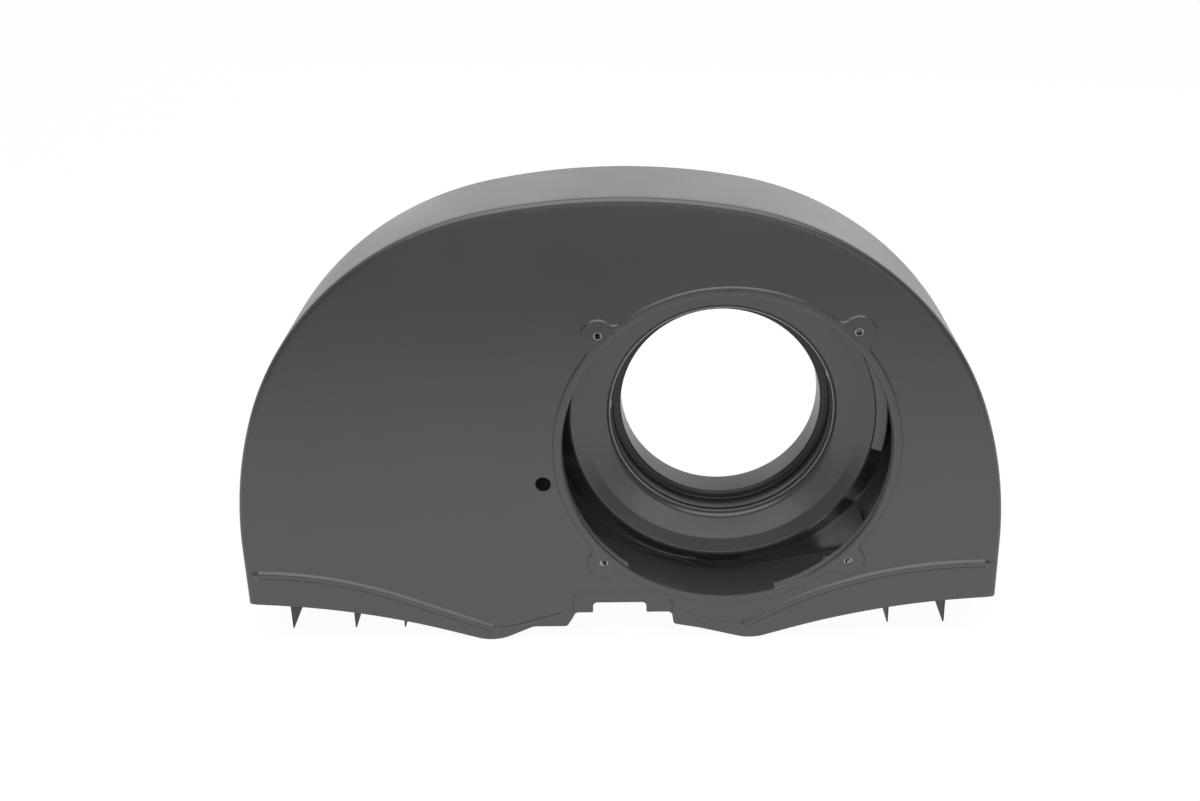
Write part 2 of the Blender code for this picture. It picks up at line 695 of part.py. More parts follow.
def flange_cut_mesh(name):
    """Ring sector that takes the turned-in edge away behind the face at the bottom."""
    inner = OPENING_RADIUS - SHEET
    outer = OPENING_RADIUS + OPENING_BEND + SHEET * 2
    front = SHEET - SEAT_RISE + GAP
    rear = OPENING_FLANGE + SHEET
    return turned_mesh(name, [(inner, front), (outer, front), (outer, rear), (inner, rear)],
                       FLANGE_CUT_START, FLANGE_CUT_END, 12)


def ear_centre(k):
    angle = math.radians(45.0 + 90.0 * k)
    return FAN_X + BOLT_CIRCLE_RADIUS * math.cos(angle), FAN_Z + BOLT_CIRCLE_RADIUS * math.sin(angle)


def side_place(side):
    """Place of a band end's screw hole, its local Z pointing into the housing."""
    place = Matrix.Translation((side * half_width(), FRONT_Y + BAND_DEPTH / 2, SIDE_HOLE_Z))
    return place @ Matrix.Rotation(-side * math.pi / 2, 4, "Y")


def build_rear_panel(parts, tools):
    """Shallow pan inside the band, with the drawn inlet ring."""
    lowest = -OVERRUN
    block = folded_block("rear_panel", PAN_INSET, WEB_Y, BAND_DEPTH, FOLD_RADIUS, lowest)
    panel = add_object("rear_panel", block, parts)

    def tool(name, mesh, operation):
        apply_boolean(panel, add_object(name, mesh, tools, painted=False), operation)

    tool("pan_hollow", folded_block("pan_hollow", PAN_INSET + SHEET, WEB_Y + SHEET, BAND_DEPTH + OVERRUN,
                                    FOLD_RADIUS - SHEET, lowest - OVERRUN), "DIFFERENCE")
    tool("ring_hole", rod_mesh("ring_hole", FAN_X, FAN_Z, RING_BASE_RADIUS + RING_APRON - LAP,
                               WEB_Y - OVERRUN, WEB_Y + OVERRUN, RING_SEGMENTS), "DIFFERENCE")
    ring = turned_mesh("inlet_ring", sheet_outline(rounded_path(ring_corners()), SHEET))
    tool("inlet_ring", ring, "UNION")
    tool("rear_cable_hole", rod_mesh("rear_cable_hole", CABLE_X, CABLE_Z, CABLE_RADIUS, WEB_Y - OVERRUN,
                                     WEB_Y + OVERRUN, 22), "DIFFERENCE")
    trim = plate_mesh("rear_trim", trim_outline(), WEB_Y - OVERRUN, BAND_DEPTH + OVERRUN)
    tool("rear_trim", trim, "DIFFERENCE")
    return panel


def build_inlet_collar(parts):
    """Stepped ring: seat in the throat, flat step, and the collar that stands out at the rear."""
    middle = SHEET / 2
    path = rounded_path([
        (COLLAR_SEAT_RADIUS + middle, COLLAR_FRONT_Y, 0),
        (COLLAR_SEAT_RADIUS + middle, COLLAR_STEP_Y + middle, COLLAR_BEND),
        (COLLAR_RADIUS + middle, COLLAR_STEP_Y + middle, COLLAR_BEND),
        (COLLAR_RADIUS + middle, COLLAR_END_Y, 0),
    ])
    return add_object("inlet_collar", turned_mesh("inlet_collar", sheet_outline(path, SHEET)), parts)


def build_scroll_lip(parts):
    """Curved angle strip in front of the ring's crest, its wall turned back to the ring."""
    inner = RING_CREST_RADIUS + GAP
    outer = inner + LIP_WIDTH
    rear = RING_CREST_MIDDLE_Y + SHEET / 2 - GAP
    front = rear - SHEET
    seat = ring_wall_front(outer - SHEET) - wall_gap()
    profile = [(inner, front), (outer, front), (outer, seat)]
    profile += [(outer - SHEET, seat), (outer - SHEET, rear), (inner, rear)]
    return add_object("scroll_lip", turned_mesh("scroll_lip", profile, LIP_START, LIP_END, 28), parts)


def build_scroll_floor(parts, tools):
    """Sheet under the fan that closes the middle of the housing, welded to the rear panel at one tab."""
    left_end, right_end = FLOOR_LEFT_INSET - half_width(), half_width() - FLOOR_RIGHT_INSET
    path = rounded_path([
        (left_end, FLOOR_LEFT_Z, 0),
        (FLOOR_RIDGE_X, FLOOR_RIDGE_Z, FLOOR_RIDGE_RADIUS),
        (FAN_X, FLOOR_DIP_Z, FLOOR_DIP_RADIUS),
        (right_end, FLOOR_RIGHT_Z, 0),
    ])
    front = SHEET + POCKET_DEPTH + GAP
    mesh = plate_mesh("scroll_floor", sheet_outline(path, SHEET), front, WEB_Y - GAP)
    floor = add_object("scroll_floor", mesh, parts)
    left_x, right_x = left_end - OVERRUN, right_end + OVERRUN
    tab_left, tab_right = FAN_X - FLOOR_TAB_HALF_WIDTH, FAN_X + FLOOR_TAB_HALF_WIDTH
    relief_x = right_end - FLOOR_RELIEF_LENGTH
    for name, left, right, near, far in (("seam_left", left_x, tab_left, WEB_Y - FLOOR_SEAM, WEB_Y),
                                         ("seam_right", tab_right, right_x, WEB_Y - FLOOR_SEAM, WEB_Y),
                                         ("relief", relief_x, right_x, -OVERRUN, WEB_Y - FLOOR_STRIP_WIDTH)):
        block = block_mesh("floor_" + name, left, right, near, far)
        apply_boolean(floor, add_object("floor_" + name, block, tools, painted=False), "DIFFERENCE")
    return floor


def block_mesh(name, left, right, near, far):
    """Upright block between two places across and two depths, taller than the floor."""
    outline = [(left, 0.0), (right, 0.0), (right, FAN_Z), (left, FAN_Z)]
    return plate_mesh(name, outline, near, far)


def build_vanes(parts):
    """Upright vanes in the two outlets, each leaning towards the flow at its top."""
    for tag, row, side in (("left", LEFT_VANES, -1), ("right", RIGHT_VANES, 1)):
        for k, (inset, height) in enumerate(row):
            x = side * (half_width() - inset)
            bend_z = VANE_BOTTOM_Z + height * VANE_BEND_SHARE
            top_z = VANE_BOTTOM_Z + height
            top_x = x - side * math.tan(math.radians(VANE_LEAN)) * (top_z - bend_z)
            bend = (x, bend_z, height * VANE_CURVE_SHARE)
            path = rounded_path([(x, VANE_BOTTOM_Z, 0), bend, (top_x, top_z, 0)])
            name = tag + "_vane_" + str(k + 1)
            add_object(name, plate_mesh(name, sheet_outline(path, SHEET), SHEET + GAP, WEB_Y - GAP), parts)


def build_nut(name, place, parts, tools):
    """Hexagonal weld nut with a plain bore, its seat on a place and its length along local Z."""
    nut = add_object(name, prism_mesh(name, NUT_FLATS / math.sqrt(3.0), 0.0, NUT_HEIGHT, 6, place), parts)
    drill = prism_mesh(name + "_bore", NUT_BORE_RADIUS, -SHEET, NUT_HEIGHT + SHEET, 18, place)
    apply_boolean(nut, add_object(name + "_bore", drill, tools, painted=False), "DIFFERENCE")


def build_nuts(parts, tools):
    """Weld nuts behind the ears, and one inside each end of the band."""
    back = FRONT_Y + SHEET - SEAT_RISE + GAP
    for k in range(4):
        x, z = ear_centre(k)
        place = Matrix.Translation((x, back, z)) @ Matrix.Rotation(-math.pi / 2, 4, "X")
        build_nut("ear_nut_" + str(k + 1), place, parts, tools)
    for side, tag in ((-1, "left"), (1, "right")):
        place = side_place(side) @ Matrix.Translation((0.0, 0.0, SHEET + GAP))
        build_nut("side_nut_" + tag, place, parts, tools)


def main():
    clear_scene()
    parts = make_collection("fan_shroud")
    tools = make_collection("cutters")
    build_front_shell(parts, tools)
    build_rear_panel(parts, tools)
    build_inlet_collar(parts)
    build_scroll_lip(parts)
    build_scroll_floor(parts, tools)
    build_vanes(parts)
    build_nuts(parts, tools)


main()
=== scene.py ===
"""Looks of the engine fan shroud: fine pressed sheets in satin dark coating, on a white sweep.

Each sheet of the part is drawn again with a much finer mesh, in the place of its CAD node, and the
nuts keep their CAD mesh. Lengths are in metres and angles in degrees. X and Z are places on the part
seen from the front, and the Y of one of its features is the depth behind the front of the face.
"""
import math

import bmesh
import bpy
import numpy as np
from mathutils import Matrix, Vector
from mathutils.geometry import delaunay_2d_cdt


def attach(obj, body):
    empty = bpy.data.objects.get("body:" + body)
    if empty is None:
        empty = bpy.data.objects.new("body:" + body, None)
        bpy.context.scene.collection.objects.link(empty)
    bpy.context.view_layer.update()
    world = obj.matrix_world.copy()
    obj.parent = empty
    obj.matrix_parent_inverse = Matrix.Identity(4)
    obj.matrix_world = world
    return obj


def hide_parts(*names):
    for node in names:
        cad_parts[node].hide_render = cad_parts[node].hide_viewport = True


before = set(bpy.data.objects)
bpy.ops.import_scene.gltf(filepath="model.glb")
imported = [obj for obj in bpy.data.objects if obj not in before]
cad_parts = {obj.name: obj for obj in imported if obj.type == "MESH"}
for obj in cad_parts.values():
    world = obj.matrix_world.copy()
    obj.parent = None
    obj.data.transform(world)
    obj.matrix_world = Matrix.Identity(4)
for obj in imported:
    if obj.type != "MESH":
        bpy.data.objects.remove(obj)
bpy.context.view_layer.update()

# Sheets and the outline of the hood, as in the part
SHEET = 0.0010
GAP = 0.0003
TOP_Z = 0.3782
TOP_RADIUS = 0.514
TOP_TURN = 10.9
SHOULDER_RADIUS = 0.253
SHOULDER_TURN = 60.0
SIDE_RADIUS = 0.359
SIDE_TURN = 90.0 - TOP_TURN - SHOULDER_TURN
BAND_DEPTH = 0.0926
FOLD_RADIUS = 0.0042
REAR_FLANGE = 0.0120
WEB_Y = BAND_DEPTH - REAR_FLANGE - SHEET
PAN_INSET = SHEET + GAP
SIDE_HOLE_Z = 0.060
SIDE_HOLE_RADIUS = 0.0034

# Lower edge; a skirt is lobe X, inner slope, shelf X, shelf slope, X of the riser's foot and top
CORNER_Z = 0.0365
CORNER_SLOPE = 4.0
SKIRT_RADIUS = 0.640
LOBE_RADIUS = 0.040
LOBE_OUTER_SLOPE = 17.0
LEFT_SKIRT = (0.1050, 24.0, 0.0720, 0.0, 0.0440, 0.0365)
RIGHT_SKIRT = (0.1085, 14.5, 0.0663, 11.0, 0.0445, 0.0430)
SHELF_RADIUS = 0.0100
RISER_FOOT_RADIUS = 0.0030
RISER_TOP_RADIUS = 0.0040
STEP_Z = 0.0243
NOTCH_HALF_WIDTH = 0.022
NOTCH_Z = 0.0337
NOTCH_RADIUS = 0.0035
NOTCH_EDGE_RADIUS = 0.0015

# Fan opening with its raised seat, ears and turned-in edge, and the cable hole
FAN_X = 0.087
FAN_Z = 0.171
OPENING_RADIUS = 0.130
OPENING_FLANGE = 0.0070
OPENING_BEND = 0.0016
OPENING_TURN = OPENING_BEND + SHEET
FLANGE_ROW_DEPTHS = (0.0035, 0.0052, OPENING_FLANGE)
FLANGE_CUT_START = -127.5
FLANGE_CUT_END = -72.5
FLANGE_CUT_TURN = 60.0
FLANGE_CUT_MARGIN = 0.00035
SEAT_RADIUS = 0.1374
SEAT_RISE = 0.0012
EAR_COUNT = 4
FIRST_EAR_TURN = 45.0
EAR_RADIUS = 0.0135
EAR_FILLET = 0.0060
BOLT_CIRCLE_RADIUS = 0.1403
BOLT_HOLE_RADIUS = 0.0034
CABLE_X = -0.0589
CABLE_Z = 0.1446
CABLE_RADIUS = 0.0063

# Forms pressed into the face; a flank is the width over which a form rises, and an outer share is
# how much of it lies outside the form's outline
SEAT_FLANK = 0.0013
SEAT_OUTER_SHARE = 0.25
POCKET_DEPTH = 0.0015
POCKET_TOP_Z = 0.0450
POCKET_FOOT_Z = -0.020
POCKET_LEFT_X = 0.0385
POCKET_LEFT_RADIUS = 0.0090
POCKET_RIGHT_X = 0.0440
POCKET_RIGHT_RADIUS = 0.0160
POCKET_FLANK = 0.0014
POCKET_OUTER_SHARE = 0.50

# Beads and ridges; a bead is inset and Z of its bend, Z of its end, its straight run, and X and Z of
# its foot, while a ridge is corners of X, Z and radius
BEAD_HALF_WIDTH = 0.0037
BEAD_HEIGHT = 0.0020
BEAD_FLANK = 0.0023
BEAD_END_INSET = 0.0115
LEAD_LAP = 0.0010
LEFT_BEAD = (0.0729, 0.0624, 0.0640, 0.0018, 0.1061, 0.0107)
RIGHT_BEAD = (0.1072, 0.0660, 0.0677, 0.0112, 0.1035, 0.0130)
RIDGE_HALF_WIDTH = 0.0016
RIDGE_HEIGHT = 0.0007
RIDGE_FLANK = 0.0010
LEFT_RIDGE = ((-0.1035, 0.0110, 0), (-0.0900, 0.0120, 0.040), (-0.0480, 0.0243, 0))
RIGHT_RIDGE = ((0.1080, 0.0122, 0), (0.0860, 0.0138, 0.060), (0.0497, 0.0254, 0))

# Drawn inlet ring and the collar in its throat; cone, crease and throat follow the photo's reflections
RING_BASE_RADIUS = 0.1435
RING_BASE_LAP = 0.006
RING_BASE_BEND = 0.003
RING_CREST_RADIUS = 0.126
RING_CREST_Y = 0.0613
RING_CREST_LIFT = 0.0010
RING_CREST_BEND = 0.0025
RING_CREASE_RADIUS = 0.115
RING_CREASE_Y = 0.0664
RING_CREASE_BEND = 0.010
RING_CONE_SLOPE = 17.0
RING_THROAT_BEND = 0.0070
RING_END_Y = 0.0978
COLLAR_SEAT_RADIUS = 0.0912
COLLAR_RADIUS = 0.0842
COLLAR_FRONT_Y = 0.0796
COLLAR_STEP_Y = 0.0956
COLLAR_END_Y = 0.1246
COLLAR_BEND = 0.0018

# Guide sheets; a vane is the X of its foot and its height
LIP_WIDTH = 0.0096
LIP_SEAT_GAP = 0.0012
LIP_TILT = 0.0026
LIP_BEND = 0.0008
LIP_START = -12.5
LIP_END = 78.0
FLOOR_LEFT_X = -0.1680
FLOOR_LEFT_Z = 0.0170
FLOOR_RIDGE_X = -0.060
FLOOR_RIDGE_Z = 0.0667
FLOOR_RIDGE_RADIUS = 0.050
FLOOR_DIP_X = FAN_X
FLOOR_DIP_Z = 0.0169
FLOOR_DIP_RADIUS = 0.100
FLOOR_RIGHT_X = 0.1970
FLOOR_RIGHT_Z = 0.0377
FLOOR_RELIEF_X = 0.1750
FLOOR_STRIP_WIDTH = 0.0080
FLOOR_SEAM = 0.0011
FLOOR_TAB_HALF_WIDTH = 0.0200
VANE_BOTTOM_Z = 0.0122
LEFT_VANES = ((-0.2734, 0.112), (-0.2208, 0.102), (-0.1795, 0.090))
RIGHT_VANES = ((0.2213, 0.064), (0.2672, 0.078))
VANE_LEAN = 24.0
VANE_BEND_SHARE = 0.5
VANE_CURVE_SHARE = 0.6

# Solidify offsets: the skin is the sheet's front, or its middle
SKIN_IN_FRONT = -1.0
SKIN_IN_MIDDLE = 0.0

# Place of the face in the frame, which is centred between the beads' tops and the collar's end
FACE_Y = -(COLLAR_END_Y - BEAD_HEIGHT) / 2

# Fineness of the meshes; a step is a length or a turn, and steps are a count
TURN_STEPS = 240
ARC_STEP = 1.2
WIDEST_ARC_STEP = 12.0
PATH_STEP = 0.0020
SKIRT_STEP = 0.0030
STRAIGHT_STEP = 0.0040
BAND_STEP = 0.0080
FOLD_STEPS = 8
BEND_STEPS = 6
DEPTH_STEPS = 4
LIP_STEPS = 90
CABLE_HOLE_STEPS = 40
BOLT_HOLE_STEPS = 28
FACE_GRID = 0.0035
EDGE_CLEARANCE = 0.0007
HOLE_CLEARANCE = 0.0006
SKIRT_CLEARANCE = 0.0010

# Rows of extra points along the forms: rows from the middle of a strip to its edge and past it, and
# shares of the flank for the seat and the pocket
BEAD_ROWS = 6
BEAD_ROWS_PAST = 2
RIDGE_ROWS = 3
RIDGE_ROWS_PAST = 1
SEAT_ROWS = (-0.40, -0.25, -0.12, 0.0, 0.12, 0.25, 0.38, 0.50, 0.62, 0.75, 0.90)
POCKET_ROWS = (-0.7, -0.5, -0.3, -0.15, 0.0, 0.15, 0.3, 0.5, 0.7)

# Settings of the mesh tools; a face is in a hole if its middle is within this share of the radius
HOLE_SHARE = 0.999
TRIANGLES_INSIDE = 1
TRIANGLE_TOLERANCE = 1e-6
TINY = 1e-18
DRILL_REACH = 0.012
DRILL_CUTS = 5
DRILL_RIM_SHARE = 1.25
WELD_DISTANCE = 0.00002
SHARP_ANGLE = 38.0

# Coats of the sheets: base colour, roughness, refractive index and the grey of dust specks; a noise is
# its scale and detail, and the noise turn is the stretch of its values over which a roughness changes
COATS = {
    "shell": {"base": (0.027, 0.028, 0.031), "roughness": 0.34, "ior": 1.85, "dust": 0.60},
    # Painted light: the panel, vane and guide coats have lighter base colours than the shell's, so that
    # these sheets in the shade inside the housing come out brighter
    "panel": {"base": (0.052, 0.053, 0.055), "roughness": 0.28, "ior": 1.75},
    "collar": {"base": (0.022, 0.022, 0.023), "roughness": 0.32, "ior": 1.50},
    "vane": {"base": (0.045, 0.046, 0.048), "roughness": 0.50, "ior": 1.20},
    "guide": {"base": (0.070, 0.072, 0.075), "roughness": 0.32, "ior": 1.85},
}
COAT_SHEEN = (0.95, 0.97, 1.0, 1.0)
COAT_DARK_SHARES = (0.90, 0.90, 0.91)
COAT_LIGHT_SHARES = (1.10, 1.10, 1.10)
COAT_GLOSS_SWING = 0.035
CLOUD_NOISE = (9.0, 5.0)
MOTTLE_NOISE = (26.0, 6.0)
MOTTLE_ROUGHNESS = 0.6
PEEL_NOISE = (420.0, 1.0)
HAZE_NOISE = (420.0, 3.0)
NOISE_TURN = (0.3, 0.7)
PEEL_STRENGTH = 0.02
PEEL_DEPTH = 0.0002
DUST_SCALE = 34.0
DUST_EDGE = 0.022
DUST_CORE = 0.012
DUST_RARITY = 0.78
ZINC_DARK = (0.56, 0.57, 0.58, 1.0)
ZINC_LIGHT = (0.72, 0.73, 0.74, 1.0)
ZINC_ROUGHNESS = (0.30, 0.48)

# Studio; a turn is the Y of a ray's direction at which a change is complete, and a softbox is its
# place, its target, its width, its height and its power in watts
WHITE = (1.0, 1.0, 1.0, 1.0)
TABLE_SIZE = 8.0
TABLE_FRONT_Y = -0.70
TABLE_DROP = 0.0005
TABLE_WHITE = (0.86, 0.86, 0.86, 1.0)
TABLE_GLOW_SHARE = 0.93
TABLE_GLOW = 1.03
WORLD_FRONT = 0.18
WORLD_BACK = 0.60
WORLD_TURN = 0.8
WHITE_TURN = 0.4
SOFTBOXES = {
    "top_box": ((0.0, -0.75, 1.80), (0.0, -0.10, 0.20), 2.4, 2.2, 33.0),
    "front_box": ((0.30, -2.20, 0.25), (0.0, 0.0, 0.20), 1.8, 0.4, 5.0),
    "back_box": ((0.70, 2.20, 0.90), (0.0, 0.0, 0.30), 5.0, 1.2, 8.0),
}

# Camera of the photograph
IMAGE_WIDTH = 1200
FOCAL_PIXELS = 1461.9
SENSOR_WIDTH = 36.0
CAMERA_PLACE = (0.0206, -1.0997, 0.6727)
CAMERA_PITCH = 23.69
CAMERA_YAW = -1.78
CAMERA_ROLL = -1.55


# Outlines

def arc_points(centre, radius, start, end):
    """Points of an arc, start left out and end kept."""
    finest = math.degrees(PATH_STEP / max(radius, PATH_STEP))
    steps = max(2, math.ceil(abs(end - start) / min(WIDEST_ARC_STEP, max(ARC_STEP, finest))))
    points = []
    for i in range(1, steps + 1):
        angle = math.radians(start + (end - start) * i / steps)
        points.append((centre[0] + radius * math.cos(angle), centre[1] + radius * math.sin(angle)))
    return points


def rounded_path(corners):
    """Open polyline through (x, z, radius) corners, each corner rounded by its radius."""
    points = []
    for i, (x, z, radius) in enumerate(corners):
        if radius == 0:
            points.append((x, z))
            continue
        before, after = corners[i - 1], corners[i + 1]
        inward = math.atan2(before[1] - z, before[0] - x)
        outward = math.atan2(after[1] - z, after[0] - x)
        half = ((outward - inward + math.pi) % (2 * math.pi) - math.pi) / 2
        reach = radius / abs(math.tan(half))
        middle = inward + half
        centre = (x + radius / abs(math.sin(half)) * math.cos(middle),
                  z + radius / abs(math.sin(half)) * math.sin(middle))
        first = (x + reach * math.cos(inward), z + reach * math.sin(inward))
        last = (x + reach * math.cos(outward), z + reach * math.sin(outward))
        start = math.degrees(math.atan2(first[1] - centre[1], first[0] - centre[0]))
        end = math.degrees(math.atan2(last[1] - centre[1], last[0] - centre[0]))
        end = start + (end - start + 180.0) % 360.0 - 180.0
        points.append(first)
        points.extend(arc_points(centre, radius, start, end))
    return points


def divided(path, step, closed=False):
    """The same line with points no further apart than step."""
    points = []
    for a, b in zip(path, path[1:] + path[:1] if closed else path[1:]):
        count = max(1, math.ceil(math.dist(a, b) / step))
        points.extend((a[0] + (b[0] - a[0]) * i / count, a[1] + (b[1] - a[1]) * i / count)
                      for i in range(count))
    return points if closed else points + [path[-1]]


def hood_half(inset):
    """Right half of the hood outline from the top centre down to the end of its side arc."""
    x, z, heading = 0.0, TOP_Z - inset, 90.0
    points = [(x, z)]
    arcs = ((TOP_RADIUS, TOP_TURN), (SHOULDER_RADIUS, SHOULDER_TURN), (SIDE_RADIUS, SIDE_TURN))
    for outer, turn in arcs:
        radius = outer - inset
        lean = math.radians(heading)
        centre = (x - radius * math.cos(lean), z - radius * math.sin(lean))
        points.extend(arc_points(centre, radius, heading, heading - turn))
        x, z = points[-1]
        heading -= turn
    return points


def half_width():
    """Half of the width across the band."""
    return hood_half(0.0)[-1][0]


def hood_arch(inset):
    """Open line of the hood from the right corner over the top to the left corner."""
    right = hood_half(inset)
    edge = right[-1][0]
    straight = divided([(edge, CORNER_Z), (edge, right[-1][1])], STRAIGHT_STEP)
    line = straight[:-1] + right[::-1]
    return line + [(-x, z) for x, z in line[-2::-1]]


def skirt_corners(side):
    """Lower edge from the band's corner in to the step, side is 1 for right and -1 for left."""
    lobe_x, inner, shelf_x, shelf, foot_x, top_x = LEFT_SKIRT if side < 0 else RIGHT_SKIRT
    lean = math.radians(inner - LOBE_OUTER_SLOPE) / 2
    turn = math.radians(inner + LOBE_OUTER_SLOPE) / 2
    lobe_z = LOBE_RADIUS * (1 - math.cos(lean) / math.cos(turn))
    outer_rise = math.tan(math.radians(LOBE_OUTER_SLOPE))
    end_rise = math.tan(math.radians(CORNER_SLOPE))
    end_x = half_width()
    bend_x = (CORNER_Z - end_x * end_rise - lobe_z + lobe_x * outer_rise) / (outer_rise - end_rise)
    shelf_z = lobe_z + (lobe_x - shelf_x) * math.tan(math.radians(inner))
    foot_z = shelf_z + (shelf_x - foot_x) * math.tan(math.radians(shelf))
    return [
        (side * end_x, CORNER_Z, 0.0),
        (side * bend_x, lobe_z + (bend_x - lobe_x) * outer_rise, SKIRT_RADIUS),
        (side * lobe_x, lobe_z, LOBE_RADIUS),
        (side * shelf_x, shelf_z, SHELF_RADIUS),
        (side * foot_x, foot_z, RISER_FOOT_RADIUS),
        (side * top_x, STEP_Z, RISER_TOP_RADIUS),
    ]


def lower_edge():
    """Lower edge of a panel from right to left."""
    notch = [
        (NOTCH_HALF_WIDTH, STEP_Z, NOTCH_EDGE_RADIUS),
        (NOTCH_HALF_WIDTH, NOTCH_Z, NOTCH_RADIUS),
        (-NOTCH_HALF_WIDTH, NOTCH_Z, NOTCH_RADIUS),
        (-NOTCH_HALF_WIDTH, STEP_Z, NOTCH_EDGE_RADIUS),
    ]
    return rounded_path(skirt_corners(1) + notch + skirt_corners(-1)[::-1])


def ear_angle(k):
    """Direction of an ear from the fan axis, in radians; the first is at the upper right."""
    return math.radians(FIRST_EAR_TURN + 360.0 / EAR_COUNT * k)


def ear_centre(k):
    """Centre of an ear and of its bolt hole."""
    angle = ear_angle(k)
    return FAN_X + BOLT_CIRCLE_RADIUS * math.cos(angle), FAN_Z + BOLT_CIRCLE_RADIUS * math.sin(angle)


def seat_outline():
    """Raised seat round the fan opening: a circle with four ears and hollow fillets."""
    ring, ear, reach = SEAT_RADIUS + EAR_FILLET, EAR_RADIUS + EAR_FILLET, BOLT_CIRCLE_RADIUS
    swing = math.acos((ring ** 2 + reach ** 2 - ear ** 2) / (2 * ring * reach))
    points = []
    for k in range(EAR_COUNT):
        direction = ear_angle(k)
        centre = ear_centre(k)
        for sign in (-1, 1):
            angle = direction + sign * swing
            hub = (FAN_X + ring * math.cos(angle), FAN_Z + ring * math.sin(angle))
            to_ring = math.degrees(angle) + 180.0
            to_ear = math.degrees(math.atan2(centre[1] - hub[1], centre[0] - hub[0]))
            turn = (to_ear - to_ring + 180.0) % 360.0 - 180.0
            if sign < 0:
                points.extend(arc_points(hub, EAR_FILLET, to_ring, to_ring + turn))
                leave = to_ear + 180.0
                sweep = 2 * ((math.degrees(direction) - leave + 180.0) % 360.0 - 180.0)
                points.extend(arc_points(centre, EAR_RADIUS, leave, leave + sweep))
            else:
                points.extend(arc_points(hub, EAR_FILLET, to_ring + turn, to_ring))
        points.extend(arc_points((FAN_X, FAN_Z), SEAT_RADIUS, math.degrees(direction + swing),
                                 math.degrees(ear_angle(k + 1) - swing)))
    return points


def pocket_outline():
    """Pocket round the notch, open downwards."""
    return rounded_path([
        (POCKET_RIGHT_X, POCKET_FOOT_Z, 0),
        (POCKET_RIGHT_X, POCKET_TOP_Z, POCKET_RIGHT_RADIUS),
        (-POCKET_LEFT_X, POCKET_TOP_Z, POCKET_LEFT_RADIUS),
        (-POCKET_LEFT_X, POCKET_FOOT_Z, 0),
    ])


def main_bead_path(side):
    """Curved bead from the band's end down to the lobe, its bend starting a short run from that end."""
    inset, corner_z, end_z, run, foot_x, foot_z = LEFT_BEAD if side < 0 else RIGHT_BEAD
    end = (side * (half_width() - BEAD_END_INSET), end_z)
    corner = (side * (half_width() - inset), corner_z)
    foot = (side * foot_x, foot_z)
    outer_lean = math.atan2(end[1] - corner[1], abs(end[0] - corner[0]))
    inner_lean = math.atan2(corner[1] - foot[1], abs(corner[0] - foot[0]))
    radius = (math.dist(end, corner) - run) / math.tan((inner_lean - outer_lean) / 2)
    return rounded_path([(end[0], end[1], 0), (corner[0], corner[1], radius), (foot[0], foot[1], 0)])


def thin_ridge_path(side):
    """Low ridge from beside the lobe towards the notch."""
    return rounded_path(LEFT_RIDGE if side < 0 else RIGHT_RIDGE)


def lead_bead_path(side):
    """Low ridge that carries the main bead on to the fold at the band's end."""
    end, following = main_bead_path(side)[:2]
    slope = (following[1] - end[1]) / (following[0] - end[0])
    outer_x = side * (half_width() - FOLD_RADIUS)
    lap = side * LEAD_LAP
    return [(outer_x, end[1] + (outer_x - end[0]) * slope), (end[0] - lap, end[1] - lap * slope)]


def raised_strips():
    """Line, half width, height, flank and rows of each bead and ridge."""
    bead = (BEAD_HALF_WIDTH, BEAD_HEIGHT, BEAD_FLANK, BEAD_ROWS, BEAD_ROWS_PAST)
    ridge = (RIDGE_HALF_WIDTH, RIDGE_HEIGHT, RIDGE_FLANK, RIDGE_ROWS, RIDGE_ROWS_PAST)
    strips = []
    for side in (-1, 1):
        strips.append((main_bead_path(side), *bead))
        strips.append((thin_ridge_path(side), *ridge))
        strips.append((lead_bead_path(side), *ridge))
    return strips


# Relief of the pressed face

def smooth_step(t):
    """Rise from 0 to 1 with level ends."""
    t = np.clip(t, 0.0, 1.0)
    return t * t * (3.0 - 2.0 * t)


def distance_to(points, path, closed=False):
    """Distance of each point to a polyline."""
    ends = path[1:] + path[:1] if closed else path[1:]
    best = np.full(len(points), np.inf)
    for a, b in zip(path, ends):
        a, b = np.array(a), np.array(b)
        along = b - a
        share = np.clip((points - a) @ along / max(along @ along, TINY), 0.0, 1.0)
        best = np.minimum(best, np.hypot(*(points - a - share[:, None] * along).T))
    return best


def inside(points, outline):
    """True for points inside a closed outline, by counting crossings."""
    x, z = points.T
    odd = np.zeros(len(points), bool)
    for (ax, az), (bx, bz) in zip(outline, outline[1:] + outline[:1]):
        crosses = (az > z) != (bz > z)
        if az != bz:
            odd ^= crosses & (x < (bx - ax) * (z - az) / (bz - az) + ax)
    return odd


def depth_inside(points, outline, closed):
    """Distance of each point to an outline, negative outside it."""
    return distance_to(points, outline, closed) * np.where(inside(points, outline), 1.0, -1.0)


def face_relief(points):
    """How far the face stands out towards the front at each (x, z) point."""
    height = np.zeros(len(points))
    edge = depth_inside(points, seat_outline(), True)
    height += SEAT_RISE * smooth_step(edge / SEAT_FLANK + SEAT_OUTER_SHARE)
    edge = depth_inside(points, pocket_outline(), False)
    height -= POCKET_DEPTH * smooth_step(edge / POCKET_FLANK + POCKET_OUTER_SHARE)
    raised = np.zeros(len(points))
    for path, width, tall, flank, _, _ in raised_strips():
        near = distance_to(points, path)
        raised = np.maximum(raised, tall * np.clip((width - near) / flank, 0.0, 1.0))
    return height + raised


def beside(path, offsets, closed=False):
    """Points all along a line, at each of the given distances from it."""
    line = divided(path, PATH_STEP, closed)
    count = len(line)
    rows = []
    for i, (x, z) in enumerate(line):
        before = line[i - 1] if closed or i else line[0]
        after = line[(i + 1) % count] if closed or i < count - 1 else line[-1]
        along = math.atan2(after[1] - before[1], after[0] - before[0])
        rows.extend((x - math.sin(along) * d, z + math.cos(along) * d) for d in offsets)
    return rows


